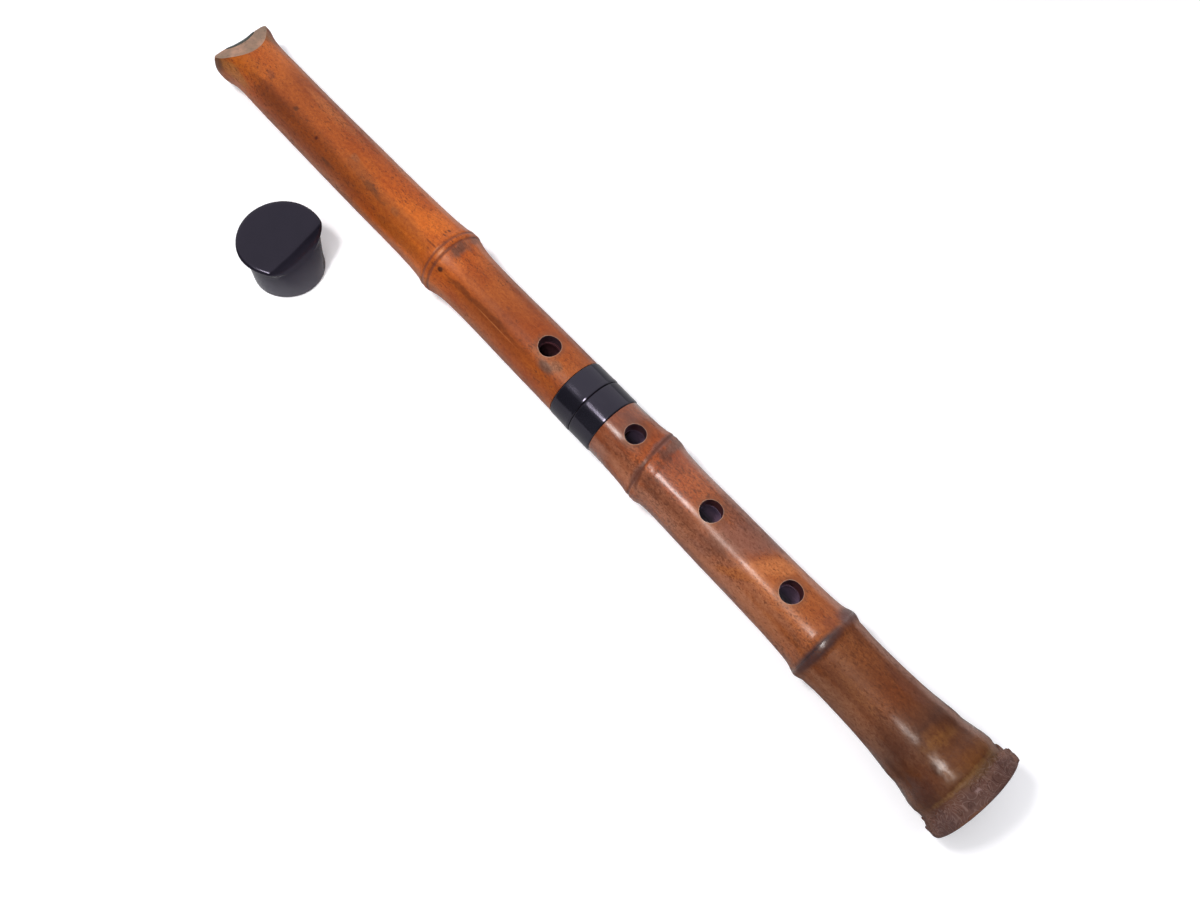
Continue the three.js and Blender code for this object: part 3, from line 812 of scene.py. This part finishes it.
tenon_brown, tenon_shader, _, tenon_fibre = flute_finish("tenon bamboo", 0.6)
tenon_tone = mixed(tenon_fibre["Streak"], paint(74, 44, 32), paint(48, 28, 22))
fill(tenon_shader, {
    "Base Color": layered(tenon_tone, (tenon_fibre["Dash"], 0.6, (30, 18, 15))),
    "Roughness": times_plus(tenon_fibre["Cloud"], 0.12, 0.32)})
tenon_outside = [(271.5, 10.7), (271.8, 11.2), (272.3, 11.46), (275, 11.5), (313.2, 11.5),
                 (313.8, 11.3)]
tenon_inside = [(271.5, 8.9), (293.5, 8.8), (313.8, 8.69)]
turning_lines = [(at, 0.06, 0.35) for at in (277, 281, 285, 289)]
tenon_line = stem_outline(tenon_outside, turning_lines, coarse=1.0, fine=0.25,
                          fine_zones=[(271.5, 291)])
tenon = turned("tenon", tenon_line, tenon_inside, tenon_brown)
soften_by_angle(tenon, band_crease_angle)
set_down(tenon)
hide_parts("joint_tenon")
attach(tenon, "tenon")

# Bamboo of the lower section: two nodes, three finger holes, and the foot of the stem, which is
# dug up with its root and flares. The root end is rasped, oiled and darker than the stem.

lower_start = 293.8
lower_band_end = 308.1
root_end = 545.0
lower_outside = [
    (308.1, 16.48), (314, 16.6), (320, 16.7), (325, 16.92), (328, 17.15), (331, 17.5), (333, 18.0),
    (335, 18.38), (337.5, 18.42), (339.8, 18.3), (341.6, 17.85), (344, 17.2), (349, 16.78),
    (355, 16.64), (366, 16.68), (382, 16.88), (400, 16.98), (416, 17.12), (427, 17.3),
    (435, 17.58), (441, 17.85), (445.5, 18.3), (447.8, 18.8), (449.4, 19.45), (450.8, 19.92),
    (452.2, 20.05), (453.6, 19.85), (455.0, 19.35), (456.6, 18.92), (459.2, 18.65), (462, 18.42),
    (464.6, 18.24), (468, 18.2), (478, 18.34), (488, 18.62), (497, 19.12), (505, 19.93),
    (510, 20.5), (513.2, 20.72), (515.6, 20.7), (518.5, 21.15), (522, 21.9), (526, 22.75),
    (529.5, 23.1), (532.2, 22.9), (534.2, 22.6), (535.8, 22.85), (537.4, 23.6), (539.2, 24.4),
    (541.4, 25.0), (543.2, 25.1), (544.3, 24.8), (544.8, 24.3), (545.0, 23.4),
]
lower_grooves = [(335.3, 0.42, 0.8), (338.4, 0.12, 0.9), (450.2, 0.1, 0.6), (456.8, 0.14, 0.9),
                 (524.0, 0.1, 1.2), (532.2, 0.2, 0.8)]
lower_slants = [(335.5, -2.7, 9), (452, -0.5, 8), (535, 0.5, 12)]
lower_holes = [(322.4, 1, 5.35, 0.0), (374.0, 1, 5.75, 0.0), (425.8, 1, 5.7, 0.0)]
lower_inside = [(lower_start, socket_radius), (314.1, socket_radius), (314.1, 10.0), (435, 9.3),
                (root_end, 10.5)]
lower_rough = [(308, 0.05), (440, 0.08), (500, 0.12), (515, 0.3), (530, 0.4), (536, 0.55),
               (545, 0.5)]
lower_colours = [
    (305, (152, 82, 47)), (318, (144, 78, 47)), (330, (170, 91, 49)), (344, (186, 99, 58)),
    (358, (180, 97, 54)), (376, (166, 92, 52)), (398, (164, 91, 52)), (412, (186, 106, 54)),
    (424, (182, 103, 53)), (444, (170, 96, 52)), (456, (136, 80, 45)), (472, (126, 74, 44)),
    (488, (138, 80, 44)), (498, (114, 66, 37)), (506, (84, 48, 32)), (516, (98, 56, 30)),
    (524, (106, 62, 32)), (531, (104, 66, 38)), (537, (106, 76, 69)), (545, (99, 75, 72)),
]
lower_stains_and_painted_light = [
    (352, -52, 46, 24, 0, 0.3, 0.5, (118, 62, 34)),
    (430, -56, 26, 24, 0.2, 0.3, 0.5, (128, 70, 32)),
    # Painted sheen: the next six rows lay pale, greyer bands along both flanks, from 40 to 90
    # degrees left of the top and 50 degrees right of it.
    (420, -86, 140, 14, 0, 0.15, 0.5, (138, 94, 70)),
    (380, -41, 76, 13, 0, 0.15, 0.6, (154, 102, 78)),
    (500, -41, 48, 13, 0, 0.15, 0.55, (106, 68, 50)),
    (375, -64, 84, 16, 0, 0.15, 0.55, (176, 120, 92)),
    (482, -64, 30, 16, 0, 0.15, 0.5, (138, 98, 76)),
    (425, 50, 150, 16, 0, 0.15, 0.46, (196, 156, 140)),
    (393.5, 6, 12, 74, 0.2, 0.28, 0.85, (136, 88, 72)),
    (382, 31, 11, 26, 0, 0.5, 0.5, (116, 76, 66)),
    (387, -36, 9, 15, 0.2, 0.5, 0.5, (110, 68, 50)),
    (402, -44, 5, 26, 0.4, 0.4, 0.6, (172, 98, 46)),
    (413.5, 16, 6.5, 42, 0.2, 0.35, 0.65, (202, 124, 72)),
    (314, 12, 5, 12, 0, 0.8, 0.55, (100, 56, 44)),
    (334.2, 26, 2.5, 44, -0.03, 0.3, 0.85, (120, 82, 74)),
    (338.4, 38, 3.2, 40, -0.03, 0.3, 0.8, (120, 90, 80)),
    (336.8, -46, 2.4, 26, -0.05, 0.3, 0.7, (112, 80, 72)),
    (347, 10, 6, 34, 0, 0.9, 0.25, (118, 66, 44)),
    (362, -42, 16, 12, 0.2, 0.9, 0.4, (116, 64, 42)),
    (338.2, -44, 1.5, 28, -0.11, 0.3, 0.8, (98, 58, 46)),
    (341, 8, 4, 16, 0, 0.9, 0.6, (96, 54, 42)),
    (344, -40, 7, 16, 0, 0.9, 0.4, (92, 50, 36)),
    (452.4, -34, 3.4, 62, 0, 0.1, 0.97, (58, 44, 47)),
    (450.6, 46, 4.6, 34, 0, 0.25, 0.9, (100, 74, 73)),
    (447.5, 8, 2.6, 20, 0, 0.8, 0.4, (126, 66, 46)),
    (457, 0, 4.6, 400, 0, 0.2, 0.1, (112, 60, 36)),
    (468, 20, 8, 26, 0, 0.6, 0.35, (136, 74, 34)),
    (490, 30, 14, 18, 0, 0.5, 0.5, (92, 52, 42)),
    (511, -4, 4, 20, 0, 0.6, 0.35, (120, 72, 32)),
    (503, -50, 10, 14, 0, 0.5, 0.55, (82, 50, 38)),
    (514, 0, 3.2, 30, 0.05, 0.5, 0.4, (128, 84, 42)),
    (478, -34, 14, 10, 0.3, 0.5, 0.3, (138, 84, 44)),
    (521, -28, 4.5, 6, 0, 0.4, 0.7, (62, 36, 28)),
    (526, -58, 10, 22, 0, 0.5, 0.55, (66, 44, 42)),
    (528, 20, 4, 30, 0, 0.6, 0.4, (120, 72, 30)),
    (532.3, -10, 1.5, 60, 0, 0.4, 0.5, (128, 94, 56)),
    (534.6, 20, 2.0, 40, 0, 0.6, 0.5, (98, 74, 40)),
    (537.2, 12, 1.8, 16, 0, 0.6, 0.4, (130, 98, 84)),
    (538.6, -24, 2.8, 10, 0, 0.6, 0.55, (68, 47, 45)),
    (539.5, 30, 3.2, 24, 0, 0.7, 0.45, (74, 54, 54)),
    (540.0, -62, 5.0, 16, 0, 0.5, 0.5, (74, 56, 58)),
    (538.4, -12, 1.4, 4.0, 0, 0.9, 0.6, (156, 130, 128)),
    (544.3, -34, 1.0, 26, 0, 0.4, 0.6, (134, 88, 60)),
]
lower_scars = [(335.3, 1.2, 0.8), (452.6, 1.7, 0.3)]
lower_gloss = [
    (300, 0.13, 1), (316, 0.13, 1), (321, 0.3, 0.1), (338, 0.32, 0.06), (344, 0.25, 0.6),
    (363, 0.25, 0.6), (372, 0.32, 0.18), (392, 0.32, 0.16), (398, 0.34, 0.16), (403, 0.3, 0.42),
    (410, 0.3, 0.22), (424, 0.34, 0.06), (438, 0.36, 0.05), (446, 0.3, 0.3), (449, 0.3, 0.1),
    (450.0, 0.3, 0.2), (451.2, 0.2, 0.8), (452.4, 0.4, 0.1), (454, 0.45, 0), (492, 0.46, 0),
    (500, 0.3, 0.18), (506, 0.32, 0.14), (510, 0.5, 0), (514, 0.5, 0), (517.5, 0.26, 0.12),
    (522, 0.22, 0.36), (526, 0.26, 0.14), (530, 0.45, 0), (545, 0.5, 0),
]
root_rim = 532  # where the rasped rim of the root begins
lower_skin = skin_finish(
    "lower bamboo skin", (300, 545), lower_colours, lower_stains_and_painted_light, lower_scars, lower_slants,
    lower_holes, dashes=1.0, dash_strength=0.54, cloud_tint=(190, 154, 136), gloss=lower_gloss,
    shine=0.19, rough_from=root_rim)

# Root stubs round the rim: roots sawn off short and rasped nearly flush, each with the rings of
# its section. They stand in two rows, with ten more set one by one, and no two are quite alike.


def make_stub_tree():
    """One row of root stubs round the rim, each pointing outwards."""
    tree, given, result = new_tree("Ring of root stubs", "GeometryNodeTree", {
        "Stub": "Geometry", "Count": 16, "Station": 540.0, "Reach": 25.4, "Sway": 0.3,
        "Depth Sway": 0.4, "Size": 1.0, "Seed": 1, "Finish": "Material"}, {"Stubs": "Geometry"})
    line = put(tree, "GeometryNodeMeshLine", {"Count": given["Count"]}).outputs[0]
    number = put(tree, "GeometryNodeInputIndex").outputs[0]

    def drawn(low, high, shift):
        """A number drawn for each stub. The node has sockets of one name for each kind."""
        made = put(tree, "FunctionNodeRandomValue", data_type="FLOAT")
        floats = [s for s in made.inputs if s.name in ("Min", "Max") and s.type == "VALUE"]
        floats[0].default_value, floats[1].default_value = low, high
        fill(made, {"ID": number, "Seed": plus(given["Seed"], float(shift))})
        return next(s for s in made.outputs if s.type == "VALUE")

    sway = times(drawn(-1.0, 1.0, 0), given["Sway"])
    turn = times(maths("DIVIDE", plus(number, sway), given["Count"]), 2 * math.pi)
    reach = times_plus(drawn(-1.0, 0.5, 10), given["Depth Sway"], given["Reach"])
    sine, cosine = maths("SINE", turn), maths("COSINE", turn)
    outward = point(drawn(-0.12, 0.12, 20), sine, cosine)
    place = point(plus(given["Station"], drawn(-0.9, 0.9, 30)), times(sine, reach),
                  times(cosine, reach))
    ring = put(tree, "GeometryNodeSetPosition", {"Geometry": line, "Position": place}).outputs[0]
    facing = put(tree, "FunctionNodeAlignRotationToVector", {"Vector": outward}, axis="Z")
    stubs = put(tree, "GeometryNodeInstanceOnPoints", {
        "Points": ring, "Instance": given["Stub"], "Rotation": facing.outputs[0],
        "Scale": times(given["Size"], drawn(0.72, 1.15, 40))}).outputs[0]
    fill(result, finished(stubs, given["Finish"]))
    return tree


stub_sides = 24
stub_flatness = 0.9
stub_outline = [(0, -0.08), (0.35, -0.12), (0.6, 0.02), (0.85, -0.12), (1.15, 0.04), (1.45, -0.13),
                (1.75, 0.0), (2.0, -0.13), (2.25, -0.12), (2.4, -0.4), (2.5, -1.0), (2.55, -3.4),
                (0, -3.4)]


def net(work, rings):
    """Faces between neighbouring rings of points. A pole is one point, given over and over."""
    for low, high in zip(rings, rings[1:]):
        for k in range(len(low)):
            after = (k + 1) % len(low)
            corners = list(dict.fromkeys((low[k], high[k], high[after], low[after])))
            if len(corners) > 2:
                work.faces.new(corners)


def stub_recipe(work):
    rings = []
    for radius, height in stub_outline:
        if radius == 0:
            rings.append([work.verts.new((0, 0, height))] * stub_sides)
        else:
            turns = (2 * math.pi * k / stub_sides for k in range(stub_sides))
            rings.append([work.verts.new((radius * math.cos(turn), stub_flatness * radius
                                          * math.sin(turn), height)) for turn in turns])
    net(work, rings)


stub_tree = make_stub_tree()
stub_rows = [  # count, station, reach, sway, depth sway, size, seed
    (27, 541.2, 25.3, 0.2, 0.4, 1.05, 4), (26, 537.0, 23.9, 0.26, 0.45, 0.95, 9)]
single_stubs = [  # station, degrees from the top, reach, size
    (538.9, 47, 25.6, 1.25), (541.6, 53, 26.2, 1.05), (538.0, -78, 24.6, 1.0),
    (527.5, -54, 23.15, 0.6), (525.5, -68, 22.8, 0.5), (529.6, -74, 23.2, 0.55),
    (528.0, 112, 23.2, 0.6), (526.5, 160, 23.0, 0.7), (529.0, -136, 23.2, 0.6),
    (527.0, -108, 23.1, 0.65)]

lower_line = stem_outline(lower_outside, lower_grooves, plain_step, fine_step,
                          [(329, 345), (445, 465), (500, 545)])
lower_piece = turned(
    "lower_stem", [(lower_start, band_seat_radius), (lower_band_end, band_seat_radius),
                   *lower_line],
    lower_inside, lower_skin, lower_slants, stem_bow, lower_rough, wave_height=0.6, seed=7.0)
lower_piece.data.materials.append(cut_bamboo)
lower_piece.data.materials.append(hole_wall)
carved(lower_piece, drills("lower drill", lower_holes, hole_wall))
stubs = [grown(shaped("row of root stubs", stub_recipe), stub_tree, {
    "Count": count, "Station": station, "Reach": reach, "Sway": sway, "Depth Sway": depth_sway,
    "Size": size, "Seed": seed, "Finish": lower_skin})
    for count, station, reach, sway, depth_sway, size, seed in stub_rows]
stubs += [shaped("single root stub", stub_recipe, Matrix.Translation((station, 0, 0))
                 @ Matrix.Rotation(-math.radians(turn), 4, "X")
                 @ Matrix.Translation((0, 0, reach)) @ Matrix.Scale(size, 4))
          for station, turn, reach, size in single_stubs]


def join_stubs(work):
    for stub in stubs:
        work.from_mesh(reworked(stub.data, face_outwards))
        bpy.data.objects.remove(stub)


reworked(lower_piece.data, join_stubs)
soften_by_angle(lower_piece, crease_angle)
set_down(lower_piece)
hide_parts("lower_culm")
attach(lower_piece, "lower_section")

# Cap of the mouthpiece: a soft black moulding that is stretched over the mouth when the flute is
# put away. It stands on its lip beside the flute, and its facet repeats the mouth's bevel.

cap_place = Matrix.Scale(0.001, 4) @ Matrix.Translation((-152.893, -31.827, 0))
cap_outside = [  # heights and radii
    (0, 17.3), (0, 18.25), (0.45, 18.62), (1.2, 18.7), (7, 18.72), (12, 18.95), (17, 19.22),
    (20.5, 19.55), (22.6, 20.25), (23.9, 21.2), (24.7, 21.9), (25.3, 22.3), (25.8, 22.45),
    (26.25, 22.32), (26.65, 21.9), (26.95, 21.25), (27.13, 20.4), (27.2, 19.4)]
cap_inside = [(24.4, 18.0), (24.0, 18.5), (21, 17.4), (7, 16.6), (0.5, 16.65), (0, 16.9)]
cap_sides = 168
cap_side_radius, cap_rim_radius = 18.7, 22.5
cap_top = cap_outside[-1][0]
cap_outside_step, cap_inside_step = 0.8, 1.2
cap_crease_angle = 50
cap_middle = 10.0
cap_turn = math.radians(12)
cap_raised_from, cap_raised_over = 6, 16  # heights over which the side passes into the top
cap_far_side = Vector((-0.949, 0.315)).normalized()
cap_top_rise = 0.095
cap_edge_softness = 0.27
cap_bulge, cap_bulge_turn, cap_bulge_tightness = 0.8, math.radians(-95), 4
cap_dent, cap_dent_turn, cap_dent_tightness = 2.0, math.radians(-56), 5
cap_narrower, cap_wider = 0.015, 0.045  # at its left and at its far side
facet_lean = math.radians(21)
facet_reach = 11.8
facet_wall = 2.25

cap_black, cap_tree, cap_shader = new_finish("black cap")
cap_cloud = noise_at(stretched(own_place(cap_tree), 120, 120, 120), 1.0, 3.0)
cap_height = parts(own_place(cap_tree))["Z"]
fill(cap_shader, {
    "Base Color": layered(
        mixed(cap_cloud, paint(27, 24, 33), paint(19, 17, 25)),
        # Painted reflection: the sides are paler below the top rim and much paler near the table,
        # standing in for the floor reflected in the black moulding.
        (between(cap_height, 0.0262, 0.022, smooth=False), 0.9, (44, 41, 52)),
        (between(cap_height, 0.019, 0.002, smooth=False), 0.9, (94, 92, 100))),
    "Roughness": times_plus(cap_cloud, 0.1, 0.12),
    "Specular IOR Level": 0.42, "Specular Tint": cool_shine})


def close_steps(outline, step):
    """Fills a line of [height, radius] points with more of them, at most a step apart."""
    points = []
    for (z0, r0), (z1, r1) in zip(outline, outline[1:]):
        count = max(1, math.ceil(math.hypot(z1 - z0, r1 - r0) / step))
        points += [(z0 + (z1 - z0) * k / count, r0 + (r1 - r0) * k / count) for k in range(count)]
    return [*points, outline[-1]]


def cap_point(radius, height, turn, reach):
    """A point of the cap, drawn in towards its middle where the facet cuts it, with a soft edge."""
    sideways, rise = radius * math.cos(turn - cap_turn), height - cap_middle
    slope = math.tan(facet_lean)
    share = 1.0
    if sideways + rise * slope > 0:
        cut = (reach + (cap_top - cap_middle) * slope) / (sideways + rise * slope)
        mix = min(max(0.5 + 0.5 * (cut - 1) / cap_edge_softness, 0), 1)
        share = cut * (1 - mix) + mix - cap_edge_softness * mix * (1 - mix)
    x, y = share * radius * math.cos(turn), share * radius * math.sin(turn)
    z = cap_middle + share * rise
    raised = min(max((z - cap_raised_from) / cap_raised_over, 0), 1)
    bulge = (cap_bulge * max(math.cos(turn - cap_bulge_turn), 0) ** cap_bulge_tightness
             * (1 - raised) * radius / cap_side_radius)
    x, y = x + bulge * math.cos(turn), y + bulge * math.sin(turn)
    dent = (cap_dent * max(math.cos(turn - cap_dent_turn), 0) ** cap_dent_tightness
            * raised * radius / cap_rim_radius)
    x, y = x - dent * math.cos(turn), y - dent * math.sin(turn)
    x, y = x * (1 - cap_narrower * raised * (x < 0)), y * (1 + cap_wider * raised * (y > 0))
    lean = raised * raised * (3 - 2 * raised) * cap_top_rise
    return x, y, z + lean * Vector((x, y)).dot(cap_far_side)


def make_cap(work):
    thick = facet_wall / math.cos(facet_lean)
    rows = [(r, z, facet_reach) for z, r in close_steps(
        [*cap_outside, (cap_top, 0)], cap_outside_step)]
    rows += [(r, z, facet_reach - thick)
             for z, r in close_steps([(cap_inside[0][0], 0), *cap_inside], cap_inside_step)]
    rings = []
    for radius, height, reach in rows:
        if radius < 0.001:
            rings.append([work.verts.new(cap_point(0, height, 0, reach))] * cap_sides)
        else:
            rings.append([work.verts.new(cap_point(
                radius, height, 2 * math.pi * k / cap_sides, reach)) for k in range(cap_sides)])
    net(work, [*rings, rings[0]])


cap = shaped("mouth_cap", make_cap)
cap.data.materials.append(cap_black)
soften_by_angle(cap, cap_crease_angle)
cap.data.transform(cap_place)
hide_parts("mouthpiece_cap")
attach(cap, "cap")

# White table, soft studio light and the camera. A long strip on the cap's side draws the line of
# gloss along the stem, a soft box above it lights the side, and a small one throws the shadows.
# The table glows white to the camera further out, and is open to a view from below.

table_drop = 0.0002
table = shaped("table", lambda work: bmesh.ops.create_grid(
    work, x_segments=1, y_segments=1, size=4.0))
table.data.transform(Matrix.Translation((0, 0, -table_drop)))
if table.data.polygons[0].normal.z < 0:
    table.data.flip_normals()


def shaders_mixed(share, first, second):
    return put(share.id_data, "ShaderNodeMixShader", {
        0: share, 1: first.outputs[0], 2: second.outputs[0]})


table_white, table_tree, table_shader = new_finish("white table")
fill(table_shader, {"Base Color": (0.8, 0.8, 0.8, 1), "Roughness": 1.0,
                    "Specular IOR Level": 0.0})
ray = put(table_tree, "ShaderNodeLightPath").outputs
table_mirrored = put(table_tree, "ShaderNodeBsdfDiffuse", {"Color": (0.42, 0.42, 0.42, 1)})
table_lit = put(table_tree, "ShaderNodeBsdfDiffuse", {"Color": (0.9, 0.89, 0.91, 1)})
table_reach = put(table_tree, "ShaderNodeVectorMath", {0: own_place(table_tree)},
                  operation="LENGTH").outputs["Value"]
table_glow = put(table_tree, "ShaderNodeEmission", {
    "Color": (1, 1, 1, 1),
    "Strength": between(table_reach, 0.45, 1.3, smooth=False, ends=(0.22, 1.0))})
table_seen = put(table_tree, "ShaderNodeAddShader", {
    0: table_lit.outputs[0], 1: table_glow.outputs[0]})
table_unseen = shaders_mixed(ray["Is Glossy Ray"], table_shader, table_mirrored)
seen = maths("MAXIMUM", ray["Is Camera Ray"], ray["Is Transmission Ray"])
from_below = times(ray["Is Camera Ray"],
                   put(table_tree, "ShaderNodeNewGeometry").outputs["Backfacing"])
table_end = shaders_mixed(from_below, shaders_mixed(seen, table_unseen, table_seen),
                          put(table_tree, "ShaderNodeBsdfTransparent"))
fill(table_tree.nodes["Material Output"], {"Surface": table_end.outputs[0]})
table.data.materials.append(table_white)

world = bpy.data.worlds.new("studio")
bpy.context.scene.world = world
world.use_nodes = True
room = world.node_tree
toward = parts(put(room, "ShaderNodeTexCoord").outputs["Generated"])
walls = times(between(toward["Y"], -0.62, -0.42), between(toward["X"], 0.5, 0.3))
sky = fill(room.nodes["Background"], {
    "Color": (0.95, 0.96, 1.0, 1), "Strength": times_plus(walls, 0.72, 0.1)})
plain = put(room, "ShaderNodeBackground", {"Color": (1, 1, 1, 1), "Strength": 1.0})
sky_end = shaders_mixed(put(room, "ShaderNodeLightPath").outputs["Is Camera Ray"], sky, plain)
fill(room.nodes["World Output"], {"Surface": sky_end.outputs[0]})


def soft_box(name, place, target, width, height, power):
    lamp = bpy.data.lights.new(name, "AREA")
    lamp.shape, lamp.size, lamp.size_y, lamp.energy = "RECTANGLE", width, height, power
    holder = show(name, lamp)
    holder.location = place
    holder.rotation_euler = (Vector(target) - Vector(place)).to_track_quat("-Z", "Y").to_euler()
    return holder


gloss_strip = soft_box("gloss strip", (0.125, -0.43, 1.05), (0.125, 0.03, 0.02), 0.82, 0.2, 13.0)
gloss_strip.visible_diffuse = False
side_box = soft_box("side box", (0.095, -0.43, 1.05), (0.095, 0.03, 0.02), 0.82, 0.12, 4.6)
shadow_box = soft_box("shadow box", (-0.14, -0.23, 0.8), (0, 0.02, 0), 0.095, 0.095, 3.3)
side_box.visible_glossy = shadow_box.visible_glossy = False

picture_width, lens_pixels, film_width = 1200, 1090.0, 36
camera_spot = (0.163664, -0.136968, 0.518278)
turn_angle, dip_angle, roll_angle = 0.6804, 1.1939, -0.1609
forward = Vector((-math.sin(turn_angle) * math.cos(dip_angle),
                  math.cos(turn_angle) * math.cos(dip_angle), -math.sin(dip_angle)))
level = Vector((math.cos(turn_angle), math.sin(turn_angle), 0))
below = forward.cross(level)
right = math.cos(roll_angle) * level + math.sin(roll_angle) * below
down = -math.sin(roll_angle) * level + math.cos(roll_angle) * below
camera_data = bpy.data.cameras.new("camera")
camera_data.sensor_width = film_width
camera_data.lens = lens_pixels * film_width / picture_width
camera_data.clip_start, camera_data.clip_end = 0.01, 20
camera = show("camera", camera_data)
axes = Matrix((right, -down, -forward)).transposed().to_4x4()
camera.matrix_world = Matrix.Translation(camera_spot) @ axes
bpy.context.scene.camera = camera
bpy.context.scene.view_settings.view_transform = "Standard"
